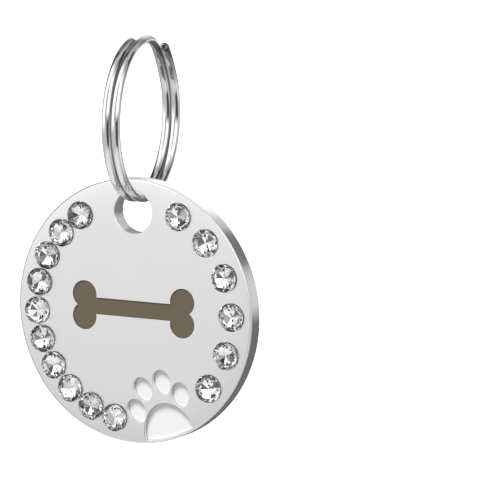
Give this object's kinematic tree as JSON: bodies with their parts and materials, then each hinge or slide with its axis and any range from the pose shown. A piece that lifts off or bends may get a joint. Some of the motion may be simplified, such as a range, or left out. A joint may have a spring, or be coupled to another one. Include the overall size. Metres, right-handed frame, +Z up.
{
  "type": "dog tag",
  "caption": "Round metal pet tag with crystals set along both sides, an enamelled paw, an engraved bone and ruled back, hanging on a split ring.",
  "frame": {"origin": "the point at the top of the split ring, on the inside and midway between its two turns, that a collar's ring bears on", "axes": "+Z up as the tag hangs, front face with the crystals towards -Y, +X to the right seen from the front"},
  "size_m": [0.03, 0.0186, 0.0459],
  "materials": {
    "tag_steel": "polished, softly satin, with brown fired engraving",
    "ring_steel": "bright nickel-plated wire",
    "crystal": "clear faceted glass with a silvered back",
    "clear_adhesive": "clear cured resin",
    "white_enamel": "glossy white enamel"
  },
  "bodies": {
    "ring": {"split_ring": "ring_steel"},
    "tag": {"tag_plate": "tag_steel", "crystal_left_01": "crystal", "crystal_left_02": "crystal", "crystal_left_03": "crystal", "crystal_left_04": "crystal", "crystal_left_05": "crystal", "crystal_left_06": "crystal", "crystal_left_07": "crystal", "crystal_left_08": "crystal", "crystal_left_09": "crystal", "crystal_left_10": "crystal", "crystal_right_01": "crystal", "crystal_right_02": "crystal", "crystal_right_03": "crystal", "crystal_right_04": "crystal", "crystal_right_05": "crystal", "crystal_right_06": "crystal", "bond_left_01": "clear_adhesive", "bond_left_02": "clear_adhesive", "bond_left_03": "clear_adhesive", "bond_left_04": "clear_adhesive", "bond_left_05": "clear_adhesive", "bond_left_06": "clear_adhesive", "bond_left_07": "clear_adhesive", "bond_left_08": "clear_adhesive", "bond_left_09": "clear_adhesive", "bond_left_10": "clear_adhesive", "bond_right_01": "clear_adhesive", "bond_right_02": "clear_adhesive", "bond_right_03": "clear_adhesive", "bond_right_04": "clear_adhesive", "bond_right_05": "clear_adhesive", "bond_right_06": "clear_adhesive", "paw_pad_enamel": "white_enamel", "paw_toe_1_enamel": "white_enamel", "paw_toe_2_enamel": "white_enamel", "paw_toe_3_enamel": "white_enamel", "paw_toe_4_enamel": "white_enamel"}
  },
  "joints": [
    {"name": "tag_swing", "type": "hinge", "parent": "ring", "child": "tag", "pos_m": [0, 0, -0.01863], "axis": [0, 1, 0], "range_deg": [-120, 120]}
  ]
}
